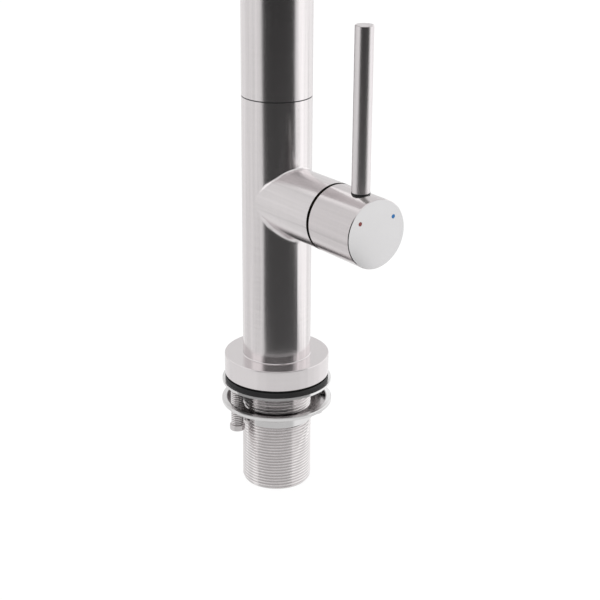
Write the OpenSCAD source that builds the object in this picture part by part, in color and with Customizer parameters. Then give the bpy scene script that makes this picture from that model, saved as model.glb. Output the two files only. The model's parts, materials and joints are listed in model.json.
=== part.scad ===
// Kitchen mixer tap: a straight round column with a single-lever valve on its side,
// a swivelling spout, and a threaded shank with a clamp set for a 35 mm worktop hole.
// Origin: on the column's axis, at the worktop's surface. +Z is up, +X is the valve's
// axis, and the spout points along -Y, towards the person who stands at the sink.

/* [Column] */
// Outer diameter of the column and of the spout's riser
column_d = 32; // [30:0.5:36]
// Wall of the column tube
column_wall = 2.5; // [2.2:0.1:3]
// Height of the column's top face above the worktop
column_top = 135.1; // [130:0.1:150]
// Height of the dark seam between the column and the spout
seam_h = 0.5; // [0.4:0.05:1]

/* [Base] */
// Diameter of the base flange
flange_d = 49.5; // [46:0.5:56]
// Thickness of the base flange
flange_t = 10; // [9:0.5:12]
// Rounding of the flange's top edge
flange_edge = 0.4; // [0.2:0.1:0.8]
// Radius of the fillet where the column meets the flange
fillet_r = 0.5; // [0.3:0.1:2]
// Depth of the column's socket in the flange
column_seat = 2.7; // [2:0.1:3.5]
// Thickness of the web between the column and the shank
web_t = 1; // [0.8:0.1:1.5]
// Thickness of the rubber seal under the flange
seal_t = 0.8; // [0.5:0.1:3]
// How far the base seal lies inside the flange's edge
seal_inset = 1; // [0.1:0.05:1.5]

/* [Shank] */
// Outside diameter of the shank's thread
shank_d = 33; // [31.5:0.5:34]
// Pitch of the shank's thread
shank_pitch = 1.5; // [1.25:0.25:2]
// Diameter of the passage for the hoses
shank_bore_d = 28; // [26:0.5:28.5]
// Length of the shank below the worktop
shank_drop = 55.2; // [50:0.1:80]

/* [Clamp set] */
// Gap between the worktop plane and the clamp gasket
gasket_gap = 0.2; // [0.2:0.1:1]
// Thickness of the clamp gasket
gasket_t = 2; // [1.5:0.1:3]
// How far the clamp gasket lies inside the clamp washer's edge
gasket_inset = 1.4; // [0.5:0.1:2]
// Outside diameter of the clamp washer
washer_d = 52; // [50:0.5:58]
// Thickness of the clamp washer
washer_t = 1.2; // [0.8:0.1:1.5]
// Distance from the clamp washer down to the nut's rim
nut_drop = 8.9; // [7:0.1:11]
// Outside diameter of the flange nut
nut_d = 52.6; // [51:0.2:56]
// Width of the nut's raised rim
nut_rim_w = 2.6; // [2:0.1:3]
// Height of the outside of the nut's rim
nut_rim_h = 1.8; // [1.5:0.1:3]
// Depth of the nut's cup below its rim
nut_cup = 2.8; // [1.5:0.1:3]
// Thickness of the nut's floor beside its hub
nut_floor_t = 3; // [2.5:0.1:4]
// Length of the hub below the nut's floor
nut_hub_h = 3.6; // [2.5:0.1:4.5]
// Wall of the nut's hub
nut_hub_wall = 1; // [0.8:0.1:1.6]
// Width of the tool notches in the hub
notch_w = 6.4; // [4:0.2:8]
// Direction of the first tool notch round the shank
notch_angle = -83; // [-100:1:-60]
// Diameter of the two clamp screws
screw_d = 6; // [5:0.5:6]
// Thread pitch of the clamp screws
screw_pitch = 1; // [0.8:0.1:1.25]
// Diameter of the clamp screws' heads
screw_head_d = 7.2; // [7:0.1:8]
// Height of the clamp screws' heads
screw_head_h = 3; // [2:0.25:4]
// Length of the clamp screws under the head
screw_l = 19.4; // [17:0.2:22]
// Distance of the clamp screws from the shank's axis
screw_circle_r = 21; // [20.6:0.1:21.4]
// Direction of the front clamp screw round the shank
screw_angle = -100; // [-120:1:-85]

/* [Side valve] */
// Height of the valve's axis above the worktop
valve_z = 89.1; // [85:0.1:96]
// Diameter of the valve housing and of the handle cap
valve_d = 30.8; // [30.2:0.1:34]
// Distance from the column's axis to the handle cap's rear edge
cap_rear = 44; // [42:0.1:48]
// Distance from the cap's rear edge forward to the lever's tilting axis
tilt_setback = 7; // [6.6:0.1:8]
// Clearance between the cap's rear edge and the mouth liner
rim_clear = 0.4; // [0.25:0.01:0.5]
// Thickness of the mouth liner
liner_t = 0.36; // [0.3:0.02:0.6]

/* [Handle] */
// Length of the handle cap
cap_l = 27; // [25:0.1:34]
// Wall of the handle cap round the valve
cap_wall = 2.2; // [1.8:0.05:2.4]
// Thickness of the cap's solid front
cap_front = 13.7; // [13:0.1:15]
// Chamfer of the cap's front edge
cap_edge = 0.3; // [0.1:0.1:1]
// Diameter of the lever
lever_d = 8; // [7:0.5:9]
// Height of the lever's tip above the valve's axis
lever_h = 86.7; // [60:0.1:110]
// Distance from the cap's front face back to the lever's axis
lever_inset = 11; // [10:0.25:11]
// Chamfer of the lever's tip
lever_edge = 0.3; // [0.1:0.1:1]
// Thickness of the black washer under the lever
lever_washer_t = 0.5; // [0.3:0.05:1]
// How far the lever's washer stands out past the lever
lever_washer_lip = 0.1; // [0:0.05:0.5]
// Diameter of the lever's threaded stud
stud_d = 4; // [3:0.5:5]
// Depth of the stud in the lever
stud_grip = 10; // [6:0.5:16]
// Diameter of the grub screw that clamps the cap on the spindle
grub_d = 5; // [4:0.5:6]
// Diameter of the temperature dots
dot_d = 1.8; // [1:0.1:3]
// Thickness of the temperature dots
dot_t = 0.4; // [0.2:0.1:1]
// Distance of the dots from the valve's axis
dot_circle_r = 11; // [8:0.25:12.5]
// Angle of each dot from the lever's side of the cap
dot_angle = 55; // [20:1:90]

/* [Water block] */
// Distance from the column's axis to the cartridge's seat
seat_x = 7.5; // [7:0.1:8.5]
// Distance from the valve's axis down to the water block's underside
block_below = 42; // [36:1:46]
// Distance from the valve's axis up to the water block's top
block_above = 34; // [28:1:36]
// Distance of the two inlets from the column's middle plane
inlet_y = 6; // [5.8:0.05:6.1]
// Core diameter of the M10x1 inlet threads
inlet_d = 8.92; // [8.5:0.02:9.2]
// Depth of the inlet threads
inlet_depth = 10; // [8:0.5:14]
// Diameter of the water channels
channel_d = 5.2; // [4.4:0.1:5.6]
// Height of the inlet ports below the valve's axis
port_drop = 2.4; // [2.2:0.05:2.5]
// Height of the mixed water port above the valve's axis
port_rise = 6.3; // [6.1:0.05:6.4]

/* [Cartridge] */
// Outer diameter of the cartridge's shell
cartridge_d = 25; // [24.6:0.1:25.4]
// Wall of the cartridge's shell
shell_wall = 1.5; // [1.3:0.05:1.6]
// Length of the cartridge's base
base_l = 7; // [6:0.25:8]
// Thickness of the fixed ceramic disc
fixed_disc_t = 4; // [3:0.25:4.5]
// Thickness of the moving ceramic disc
moving_disc_t = 3.4; // [3:0.1:4]
// Diameter of the moving ceramic disc
moving_disc_d = 14; // [13:0.25:14.5]
// Thickness of the disc carrier's plate
carrier_t = 5.8; // [5:0.1:6.5]
// Thickness of the shell's front wall
shell_front_t = 1.8; // [1.4:0.1:2.2]
// Thickness of the spindle collar's flange
collar_flange_t = 2.6; // [2.4:0.05:3]
// Diameter of the spindle collar's neck
neck_d = 17.6; // [17.4:0.1:17.8]
// Length of the brass cartridge nut
cartridge_nut_l = 3.8; // [3:0.1:4]
// Thickness of the port seals' rubber
port_seal_t = 1.2; // [1.1:0.05:1.3]
// Diameter of the port seals at the middle of the rubber
port_seal_d = 6.7; // [6.6:0.05:6.8]

/* [Spindle] */
// Distance from the tilting axis back to the spindle's tail
tail_arm = 12; // [11:0.25:12.5]
// Diameter of the spindle's rounded tail
tail_d = 4; // [3.6:0.1:4.4]
// Diameter of the spindle's front rod
spindle_d = 8; // [7:0.25:8.5]
// Diameter of the spindle's hub on its pin
hub_d = 8; // [7:0.25:8.5]
// Diameter of the spindle's pin
pin_d = 3; // [2.5:0.25:3.5]
// Travel of the moving disc from shut to full flow
disc_travel = 4.1; // [3.8:0.05:4.2]

/* [Swivel] */
// Diameter of the swivel nipple
nipple_d = 23; // [22:0.5:24]
// Diameter of the nipple's water way
nipple_bore_d = 13; // [10:0.5:14]
// Height of the nipple above the column
nipple_h = 34; // [33:0.5:40]
// Height of the nipple's foot
nipple_foot = 6; // [4:0.5:8]
// Thickness of the nipple's O-rings
oring_t = 1.9; // [1.6:0.1:2.2]
// Height of the lower O-ring above the column
oring_h = 12; // [8:0.5:13]
// Distance between the two O-rings
oring_step = 6; // [4:0.5:7]
// Height of the lock screw above the column
lock_h = 26.5; // [25:0.25:28]
// Diameter of the lock screw
lock_d = 5; // [4:0.5:6]
// Length of the spout's bearing bush
bush_l = 31; // [30:0.5:34]

/* [Spout] */
// Height of the spout's riser above the worktop
riser_top = 285; // [260:1:320]
// Diameter of the spout's arm
arm_d = 24; // [23:0.5:26]
// Wall of the spout's arm
arm_wall = 1.8; // [1.5:0.1:2.5]
// Distance from the riser's top down to the arm's axis
arm_drop = 18; // [17:0.5:30]
// Distance from the column's axis to the outlet's axis
reach = 200; // [150:1:240]
// Distance from the outlet's axis to the arm's end
arm_end = 14; // [13:0.5:20]
// Distance from the arm's axis down to the outlet
outlet_drop = 20; // [19:0.5:28]
// Diameter of the outlet's collar
outlet_d = 22.6; // [22.4:0.1:22.8]
// Thickness of the two plugs that close the tubes
plug_t = 4; // [2:0.5:6]
// Outside diameter of the aerator
aerator_d = 19.7; // [19:0.1:19.8]
// Length of the aerator's shell
aerator_l = 7; // [6:0.25:8]

/* [Fits] */
// Radial gap between metal pieces that are fixed together
fixed_gap = 0.02; // [0.01:0.01:0.05]
// Radial gap of a running fit
run_gap = 0.08; // [0.03:0.01:0.1]
// Radial gap round pieces that slip in
slip_gap = 0.2; // [0.1:0.02:0.25]

/* [Hidden] */
$fn = 96;

// Room that a cutting tool runs past a face
over = 1;

column_r = column_d / 2;
column_in = column_r - column_wall;
flange_r = flange_d / 2;
flange_top = seal_t + flange_t;
column_foot = flange_top - column_seat;
web_bottom = column_foot - web_t;
seal_r = flange_r - seal_inset;

// A 60 degree thread: its depth, flats and flanks come from its pitch
thread_depth = 0.6134;
crest_flat = 0.125;
shank_r = shank_d / 2;
shank_bore_r = shank_bore_d / 2;
shank_chamfer = shank_pitch * 0.75;
rubber_slack = 0.3;
washer_slack = 0.5;
screw_gap = 0.1;
nut_edge = 0.3;
notch_floor = 0.3;
screw_edge = 0.4;
head_edge = 0.5;
head_slot_w = 1.2;
head_slot_depth = 1.3;
head_slot_turn = 35;

gasket_bottom = -gasket_gap - gasket_t;
washer_bottom = gasket_bottom - washer_t;
nut_top = washer_bottom - nut_drop;
nut_r = nut_d / 2;
nut_bore_r = shank_r + run_gap;
nut_hub_r = nut_bore_r + nut_hub_wall;
nut_floor = nut_top - nut_cup;
nut_under = nut_floor - nut_floor_t;
nut_bottom = nut_under - nut_hub_h;
screw_r = screw_d / 2;
screw_tip = washer_bottom - screw_gap;
screw_head_top = screw_tip - screw_l;

valve_r = valve_d / 2;
cartridge_r = cartridge_d / 2;
housing_bore_r = cartridge_r + slip_gap;
tilt_x = cap_rear + tilt_setback;
rim_sphere = sqrt(tilt_setback * tilt_setback + valve_r * valve_r);
liner_in = rim_sphere + rim_clear;
liner_out = liner_in + liner_t;
mouth_sphere = liner_out + fixed_gap;
liner_step = 0.15;
liner_gap = 0.1;

cap_face = cap_rear + cap_l;
cap_cavity_r = valve_r - cap_wall;
cap_floor = cap_face - cap_front;
lever_x = cap_face - lever_inset;
lever_r = lever_d / 2;
lever_foot = valve_z + valve_r + lever_washer_t;
lever_top = valve_z + lever_h;
stud_r = stud_d / 2;
grub_r = grub_d / 2;
spindle_r = spindle_d / 2;
socket_gap = 0.05;
rod_end_gap = 0.4;
stud_gap = 0.1;
grub_sink = 0.8;
dot_gap = 0.05;
spindle_end = lever_x + stud_r + 1.8;

block_r = column_in - slip_gap;
block_bottom = valve_z - block_below;
block_top = valve_z + block_above;
inlet_r = inlet_d / 2;
channel_r = channel_d / 2;
ports = [[-inlet_y, -port_drop], [inlet_y, -port_drop], [0, port_rise]];

// The cartridge's stack along the valve's axis, from its seat outwards
seat_gap = 0.5;
disc_film = 0.05;
carrier_gap = 0.2;
turn_gap = 0.1;
rim_gap = 0.3;
base_gap = 0.05;
shell_x = seat_x + seat_gap;
shell_in = cartridge_r - shell_wall;
base_front = shell_x + base_l;
fixed_front = base_front + fixed_disc_t;
moving_rear = fixed_front + disc_film;
carrier_rear = moving_rear + moving_disc_t + fixed_gap;
carrier_front = carrier_rear + carrier_t;
collar_rear = carrier_front + carrier_gap;
collar_flange_front = collar_rear + collar_flange_t;
shell_front = collar_flange_front + turn_gap + shell_front_t;
nut_rear = shell_front + turn_gap;
collar_seal_t = 1.3;
collar_seal_gap = 0.15;
collar_seal_r = shell_in - collar_seal_t / 2 - collar_seal_gap;
neck_r = neck_d / 2;
ear_front = 3;
neck_front = tilt_x + ear_front;
neck_hole_gap = 0.4;
spanner_slot_w = 2.5;
spanner_slot_depth = 1.6;
spanner_slot_in = 1.4;

pin_r = pin_d / 2;
tail_r = tail_d / 2;
hub_r = hub_d / 2;
tail_x = tilt_x - tail_arm;
fork_gap = 0.1;
fork_wall = 1.1;
stem_half = tail_r + fork_gap + fork_wall;
stem_w = 3.2;
stem_gap = 0.2;
fork_reach = 1.2;
stem_front = tail_x + fork_reach;
fork_rear = tail_x - tail_r - fork_reach;
ear_l = 7.2;
stem_play = 0.3;
collar_slot_w = stem_w + stem_gap;
collar_open_x = tilt_x - ear_l;
collar_roof = stem_half + disc_travel + stem_play;
collar_sill = stem_half + stem_play;
ear_gap = 3.7;
hub_play = 0.3;
spindle_w = stem_w - stem_gap;
spindle_waist = 1.6;
spindle_flat = 3.3;
rod_offset = 5;
rod_overlap = 0.2;
rod_start = tilt_x + rod_offset;

nipple_r = nipple_d / 2;
nipple_top = column_top + nipple_h;
nipple_edge = 0.8;
foot_gap = 0.1;
oring_gap = 0.1;
groove_play = 0.35;
oring_r = oring_t / 2;
groove_r = nipple_r - oring_t - oring_gap;
lock_z = column_top + lock_h;
lock_r = lock_d / 2;
lock_step = 0.7;
lock_groove_depth = 1.3;
lock_play = 0.7;
lock_tip_gap = 0.4;
lock_sink = 0.6;
lock_socket_depth = 1.8;
hex_share = 0.58;
dog_r = lock_r - lock_step;
lock_groove_r = nipple_r - lock_groove_depth;
lock_groove_h = 2 * dog_r + 2 * lock_play;
riser_bottom = column_top + seam_h;
glide_gap = 0.05;
bush_gap = 0.05;
bush_lift = 0.1;
bush_in = nipple_r + run_gap;

arm_r = arm_d / 2;
arm_in = arm_r - arm_wall;
arm_z = riser_top - arm_drop;
arm_tip = reach + arm_end;
outlet_z = arm_z - outlet_drop;
aerator_r = aerator_d / 2;
aerator_lift = 0.3;
aerator_wall = 1.25;
aerator_gap = 0.05;
aerator_lip = 0.8;
aerator_lip_t = 1;
screen_t = 0.8;
screen_step = 2;
screen_hole_r = 0.65;
core_t = 3.6;
core_step = 2.4;
core_hole_r = 0.8;
core_lift = 0.3;
aerator_margin = 0.6;
washer_rubber_t = 1.5;
outlet_seat = aerator_lift + aerator_l + washer_rubber_t + 2 * aerator_gap;
aerator_in = aerator_r - aerator_wall;
outlet_way_r = aerator_in - aerator_lip - slip_gap;
screen_z = outlet_z + aerator_lift + aerator_lip_t + turn_gap;
core_z = screen_z + screen_t + core_lift;

steel = [0.80, 0.80, 0.80];
worn_steel = [0.70, 0.70, 0.71];
dark_steel = [0.32, 0.32, 0.34];
brass = [0.80, 0.66, 0.34];
nickel = [0.78, 0.77, 0.75];
rubber = [0.07, 0.07, 0.07];
black_plastic = [0.10, 0.10, 0.11];
white_plastic = [0.90, 0.90, 0.88];
ceramic = [0.93, 0.92, 0.90];

// A ring round Z from z0 up to z1
module ring(outer, inner, z0, z1) {
    translate([0, 0, z0])
        difference() {
            cylinder(h = z1 - z0, r = outer);
            translate([0, 0, -over])
                cylinder(h = z1 - z0 + 2 * over, r = inner);
        }
}

// Turns a shape that stands on Z to lie along the valve's axis, starting at x0
module along_valve(x0) {
    translate([x0, 0, valve_z])
        rotate([0, 90, 0])
            children();
}

// A round bar across the valve's axis, along Y, with half its length given
module cross_bar(x, r, half) {
    translate([x, half, valve_z])
        rotate([90, 0, 0])
            cylinder(h = 2 * half, r = r);
}

// A block from x0 to x1, so wide to each side, between two heights about the valve's axis
module valve_block(x0, x1, half_w, low, high) {
    translate([x0, -half_w, valve_z + low])
        cube([x1 - x0, 2 * half_w, high - low]);
}

// An O-ring round Z at height z
module oring(middle_r, thick_r, z) {
    translate([0, 0, z])
        rotate_extrude()
            translate([middle_r, 0])
                circle(r = thick_r, $fn = 32);
}

// Outline of a round thread's teeth, from z0 up, as points of radius and height
function thread_teeth(r, pitch, z0, n) = [
    for (i = [0 : n - 1])
        let (
            root = r - thread_depth * pitch,
            crest = crest_flat * pitch,
            flank = thread_depth * pitch * tan(30),
            z = z0 + i * pitch
        )
            each [
                [root, z],
                [r, z + flank],
                [r, z + flank + crest],
                [root, z + 2 * flank + crest]
            ]
];

// Points of an arc about a centre, from angle a0 to a1
function arc(centre, r, a0, a1, n = 12) = [
    for (i = [0 : n])
        let (a = a0 + (a1 - a0) * i / n)
            centre + r * [cos(a), sin(a)]
];

// Places a child at each water port, on the cartridge's seat
module at_ports(x0) {
    for (p = ports)
        translate([x0, p[0], valve_z + p[1]])
            rotate([0, 90, 0])
                children();
}

module column_body() {
    color(steel)
        difference() {
            union() {
                translate([0, 0, column_foot])
                    cylinder(h = column_top - column_foot, r = column_r);
                along_valve(0)
                    cylinder(h = cap_rear, r = valve_r);
            }
            translate([0, 0, column_foot - over])
                cylinder(h = column_top - column_foot + 2 * over, r = column_in);
            along_valve(0)
                cylinder(h = cap_rear + over, r = housing_bore_r);
            translate([tilt_x, 0, valve_z])
                sphere(r = mouth_sphere);
        }
}

module base_flange() {
    seat_r = column_r + fixed_gap;
    socket_r = shank_r + fixed_gap;
    top_edge = arc([flange_r - flange_edge, flange_top - flange_edge], flange_edge, 0, 90, 4);
    fillet = arc([column_r + fillet_r, flange_top + fillet_r], fillet_r - fixed_gap, 270, 180);
    color(steel)
        rotate_extrude()
            polygon(concat(
                [[shank_bore_r, web_bottom], [socket_r, web_bottom], [socket_r, seal_t]],
                [[flange_r - flange_edge / 2, seal_t], [flange_r, seal_t + flange_edge / 2]],
                top_edge,
                fillet,
                [[seat_r, column_foot], [shank_bore_r, column_foot]]
            ));
}

module base_seal() {
    color(rubber)
        ring(seal_r, shank_r + rubber_slack, 0, seal_t);
}

module threaded_shank() {
    start = -shank_drop + shank_chamfer;
    turns = floor((web_bottom - start) / shank_pitch);
    root = shank_r - thread_depth * shank_pitch;
    color(nickel)
        rotate_extrude()
            polygon(concat(
                [[shank_bore_r, -shank_drop], [root - slip_gap, -shank_drop]],
                thread_teeth(shank_r, shank_pitch, start, turns),
                [[root, web_bottom], [shank_bore_r, web_bottom]]
            ));
}

module water_block() {
    color(brass)
        difference() {
            translate([0, 0, block_bottom])
                cylinder(h = block_top - block_bottom, r = block_r);
            along_valve(seat_x)
                cylinder(h = column_r, r = housing_bore_r + slip_gap);
            for (side = [-1, 1])
                translate([0, side * inlet_y, 0]) {
                    translate([0, 0, block_bottom - over])
                        cylinder(h = inlet_depth + over, r = inlet_r);
                    translate([0, 0, block_bottom])
                        cylinder(h = block_below - port_drop, r = channel_r);
                    along_valve(0)
                        translate([port_drop, 0, 0])
                            cylinder(h = seat_x + over, r = channel_r);
                }
            along_valve(0)
                translate([-port_rise, 0, 0])
                    cylinder(h = seat_x + over, r = channel_r);
            translate([0, 0, valve_z + port_rise])
                cylinder(h = block_above, r = channel_r);
        }
}

module swivel_nipple() {
    foot_r = column_in - foot_gap;
    bore = nipple_bore_d / 2;
    low = column_top + oring_h;
    half = oring_r + groove_play;
    color(brass)
        rotate_extrude()
            polygon(concat(
                [[bore, block_top], [foot_r, block_top], [foot_r, block_top + nipple_foot]],
                [[nipple_r, block_top + nipple_foot]],
                [
                    for (z = [low, low + oring_step])
                        each [
                            [nipple_r, z - half],
                            [groove_r, z - half],
                            [groove_r, z + half],
                            [nipple_r, z + half]
                        ]
                ],
                [
                    [nipple_r, lock_z - lock_groove_h / 2],
                    [lock_groove_r, lock_z - lock_groove_h / 2],
                    [lock_groove_r, lock_z + lock_groove_h / 2],
                    [nipple_r, lock_z + lock_groove_h / 2],
                    [nipple_r, nipple_top - nipple_edge],
                    [nipple_r - nipple_edge, nipple_top],
                    [bore, nipple_top]
                ]
            ));
}

module nipple_orings() {
    color(rubber)
        for (k = [0, 1])
            oring(nipple_r - oring_r, oring_r, column_top + oring_h + k * oring_step);
}

module glide_ring() {
    color(black_plastic)
        ring(column_r - slip_gap, column_in + slip_gap, column_top, riser_bottom - glide_gap);
}

module port_seals() {
    color(rubber)
        at_ports(seat_x)
            oring(port_seal_d / 2, port_seal_t / 2, port_seal_t / 2 + base_gap);
}

module cartridge_shell() {
    color(white_plastic)
        along_valve(shell_x)
            difference() {
                cylinder(h = shell_front - shell_x, r = cartridge_r);
                translate([0, 0, -over])
                    cylinder(h = shell_front - shell_front_t - shell_x + over, r = shell_in);
                cylinder(h = shell_front - shell_x + over, r = neck_r + turn_gap);
            }
}

module cartridge_base() {
    groove_depth = port_seal_t + 2 * base_gap - seat_gap;
    color(white_plastic)
        difference() {
            along_valve(shell_x)
                cylinder(h = base_l, r = shell_in - base_gap);
            at_ports(shell_x - over) {
                cylinder(h = base_l + 2 * over, r = channel_r);
                cylinder(h = groove_depth + over, r = port_seal_d / 2 + port_seal_t / 2 + base_gap);
            }
        }
}

module fixed_disc() {
    color(ceramic)
        difference() {
            along_valve(base_front)
                cylinder(h = fixed_disc_t, r = shell_in - rim_gap);
            at_ports(base_front - over)
                cylinder(h = fixed_disc_t + 2 * over, r = channel_r - slip_gap);
        }
}

module cartridge_nut() {
    outer = housing_bore_r - base_gap;
    color(brass)
        along_valve(nut_rear)
            difference() {
                cylinder(h = cartridge_nut_l, r = outer);
                translate([0, 0, -over])
                    cylinder(h = cartridge_nut_l + 2 * over, r = neck_r + neck_hole_gap);
                for (a = [0 : 60 : 300])
                    rotate([0, 0, a])
                        translate([
                            outer - spanner_slot_in,
                            -spanner_slot_w / 2,
                            cartridge_nut_l - spanner_slot_depth
                        ])
                            cube([spanner_slot_in + over, spanner_slot_w, spanner_slot_depth + over]);
            }
}

module mouth_liner() {
    color(black_plastic)
        difference() {
            intersection() {
                translate([tilt_x, 0, valve_z])
                    sphere(r = liner_out);
                along_valve(shell_front)
                    cylinder(h = cap_rear - shell_front, r = valve_r - liner_step);
            }
            translate([tilt_x, 0, valve_z])
                sphere(r = liner_in);
            along_valve(0)
                cylinder(h = cap_rear + over, r = housing_bore_r + liner_gap);
        }
}

module spindle_collar() {
    color(black_plastic)
        difference() {
            union() {
                along_valve(collar_rear)
                    difference() {
                        cylinder(h = collar_flange_t, r = shell_in - turn_gap);
                        ring(
                            shell_in + over,
                            collar_seal_r - collar_seal_t / 2 - base_gap,
                            collar_flange_t / 2 - collar_seal_t / 2 - turn_gap,
                            collar_flange_t / 2 + collar_seal_t / 2 + turn_gap
                        );
                    }
                along_valve(collar_rear)
                    cylinder(h = neck_front - collar_rear, r = neck_r);
            }
            valve_block(collar_rear - over, collar_open_x + over, collar_slot_w, -collar_sill, collar_roof);
            valve_block(collar_open_x, neck_front + over, ear_gap, -valve_r, valve_r);
            cross_bar(tilt_x, pin_r + fixed_gap, valve_r);
        }
}

module collar_oring() {
    color(rubber)
        along_valve(collar_rear)
            oring(collar_seal_r, collar_seal_t / 2, collar_flange_t / 2);
}

module spindle_pin() {
    color(worn_steel)
        cross_bar(tilt_x, pin_r, neck_r - rim_gap);
}

module moving_disc() {
    color(ceramic)
        translate([0, 0, -disc_travel / 2])
            along_valve(moving_rear)
                difference() {
                    cylinder(h = moving_disc_t, r = moving_disc_d / 2);
                    translate([0, 0, -over])
                        cylinder(h = moving_disc_t / 2 + over, r = moving_disc_d * 0.3);
                }
}

module disc_carrier() {
    slot_half = tail_r + fork_gap;
    color(black_plastic)
        difference() {
            union() {
                translate([0, 0, -disc_travel / 2])
                    along_valve(carrier_rear)
                        cylinder(h = carrier_t, r = moving_disc_d / 2);
                valve_block(carrier_rear, stem_front, stem_w, -stem_half, stem_half);
            }
            valve_block(fork_rear, stem_front + over, stem_w + over, -slot_half, slot_half);
        }
}

module spindle() {
    color(brass)
        difference() {
            union() {
                cross_bar(tail_x, tail_r, spindle_w);
                valve_block(tail_x, tilt_x, spindle_w, -spindle_waist, spindle_waist);
                cross_bar(tilt_x, hub_r, ear_gap - hub_play);
                valve_block(tilt_x, rod_start + rod_overlap, spindle_flat, -spindle_flat, spindle_flat);
                along_valve(rod_start)
                    cylinder(h = spindle_end - rod_start, r = spindle_r);
            }
            cross_bar(tilt_x, pin_r + run_gap, valve_r);
        }
}

module handle_cap() {
    color(steel)
        difference() {
            along_valve(cap_rear)
                rotate_extrude()
                    polygon([
                        [0, cap_floor - cap_rear],
                        [cap_cavity_r, cap_floor - cap_rear],
                        [cap_cavity_r, 0],
                        [valve_r, 0],
                        [valve_r, cap_l - cap_edge],
                        [valve_r - cap_edge, cap_l],
                        [0, cap_l]
                    ]);
            along_valve(cap_floor - over)
                cylinder(h = spindle_end + rod_end_gap - cap_floor + over, r = spindle_r + socket_gap);
            translate([lever_x, 0, valve_z + spindle_r])
                cylinder(h = valve_r, r = stud_r + fixed_gap);
            translate([lever_x, 0, valve_z - spindle_r - valve_r])
                cylinder(h = valve_r, r = grub_r + fixed_gap);
            for (side = [-1, 1])
                at_dot(side, cap_face - dot_t)
                    cylinder(h = dot_t + over, r = dot_d / 2 + dot_gap);
        }
}

// Places a child at a temperature dot: side -1 is hot and 1 is cold
module at_dot(side, x0) {
    translate([x0, side * dot_circle_r * sin(dot_angle), valve_z + dot_circle_r * cos(dot_angle)])
        rotate([0, 90, 0])
            children();
}

module lever_rod() {
    color(steel)
        difference() {
            translate([lever_x, 0, lever_foot])
                rotate_extrude()
                    polygon([
                        [0, 0],
                        [lever_r, 0],
                        [lever_r, lever_top - lever_foot - lever_edge],
                        [lever_r - lever_edge, lever_top - lever_foot],
                        [0, lever_top - lever_foot]
                    ]);
            translate([lever_x, 0, lever_foot - over])
                cylinder(h = stud_grip + over + slip_gap, r = stud_r + fixed_gap);
        }
}

module lever_stud() {
    color(worn_steel)
        translate([lever_x, 0, valve_z + spindle_r + stud_gap])
            cylinder(h = lever_foot + stud_grip - valve_z - spindle_r - stud_gap, r = stud_r);
}

module lever_washer() {
    washer_r = lever_r + lever_washer_lip;
    sag = valve_r - sqrt(valve_r * valve_r - washer_r * washer_r);
    color(rubber)
        difference() {
            translate([lever_x, 0, valve_z + valve_r - sag - over])
                cylinder(h = lever_washer_t + sag + over, r = washer_r);
            along_valve(lever_x - over - washer_r)
                cylinder(h = 2 * (washer_r + over), r = valve_r + fixed_gap);
            translate([lever_x, 0, valve_z])
                cylinder(h = 2 * valve_r, r = stud_r + dot_gap);
        }
}

module cap_grub_screw() {
    bottom = valve_z - valve_r + grub_sink;
    color(dark_steel)
        difference() {
            translate([lever_x, 0, bottom])
                cylinder(h = valve_z - spindle_r - stud_gap - bottom, r = grub_r);
            translate([lever_x, 0, bottom - over])
                cylinder(h = grub_r + over, r = grub_r * hex_share, $fn = 6);
        }
}

module hot_dot() {
    color([0.80, 0.12, 0.10])
        at_dot(-1, cap_face - dot_t)
            cylinder(h = dot_t, r = dot_d / 2);
}

module cold_dot() {
    color([0.12, 0.30, 0.75])
        at_dot(1, cap_face - dot_t)
            cylinder(h = dot_t, r = dot_d / 2);
}

// Turns a shape that stands on Z to lie along the spout's arm, starting y0 from the column
module along_arm(y0) {
    translate([0, -y0, arm_z])
        rotate([90, 0, 0])
            children();
}

module spout_tube() {
    color(steel)
        difference() {
            union() {
                translate([0, 0, riser_bottom])
                    cylinder(h = riser_top - riser_bottom, r = column_r);
                along_arm(0)
                    cylinder(h = arm_tip, r = arm_r);
                translate([0, -reach, outlet_z])
                    cylinder(h = outlet_drop, r = outlet_d / 2);
            }
            translate([0, 0, riser_bottom - over])
                cylinder(h = riser_top - riser_bottom + 2 * over, r = column_in);
            along_arm(0)
                cylinder(h = arm_tip + over, r = arm_in);
            translate([0, -reach, outlet_z])
                cylinder(h = outlet_drop, r = outlet_way_r);
            translate([0, -reach, outlet_z - over])
                cylinder(h = outlet_seat + over, r = aerator_r + aerator_gap);
            translate([0, 0, lock_z])
                rotate([-90, 0, 0])
                    cylinder(h = column_d, r = lock_r + fixed_gap);
        }
}

module riser_plug() {
    color(steel)
        translate([0, 0, riser_top - plug_t])
            cylinder(h = plug_t, r = column_in - fixed_gap);
}

module arm_plug() {
    color(steel)
        along_arm(arm_tip - plug_t)
            cylinder(h = plug_t, r = arm_in - fixed_gap);
}

module spout_bush() {
    color(white_plastic)
        difference() {
            ring(column_in - bush_gap, bush_in, riser_bottom + bush_lift, riser_bottom + bush_l);
            translate([0, 0, lock_z])
                rotate([-90, 0, 0])
                    cylinder(h = column_d, r = lock_r + bush_lift);
        }
}

module spout_lock_screw() {
    shoulder = nipple_r + lock_tip_gap;
    tip = lock_groove_r + lock_tip_gap;
    head = column_r - lock_sink;
    color(dark_steel)
        translate([0, 0, lock_z])
            rotate([-90, 0, 0])
                difference() {
                    union() {
                        translate([0, 0, shoulder])
                            cylinder(h = head - shoulder, r = lock_r);
                        translate([0, 0, tip])
                            cylinder(h = head - tip, r = dog_r);
                    }
                    translate([0, 0, head - lock_socket_depth])
                        cylinder(h = lock_socket_depth + over, r = lock_r * hex_share, $fn = 6);
                }
}

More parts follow.
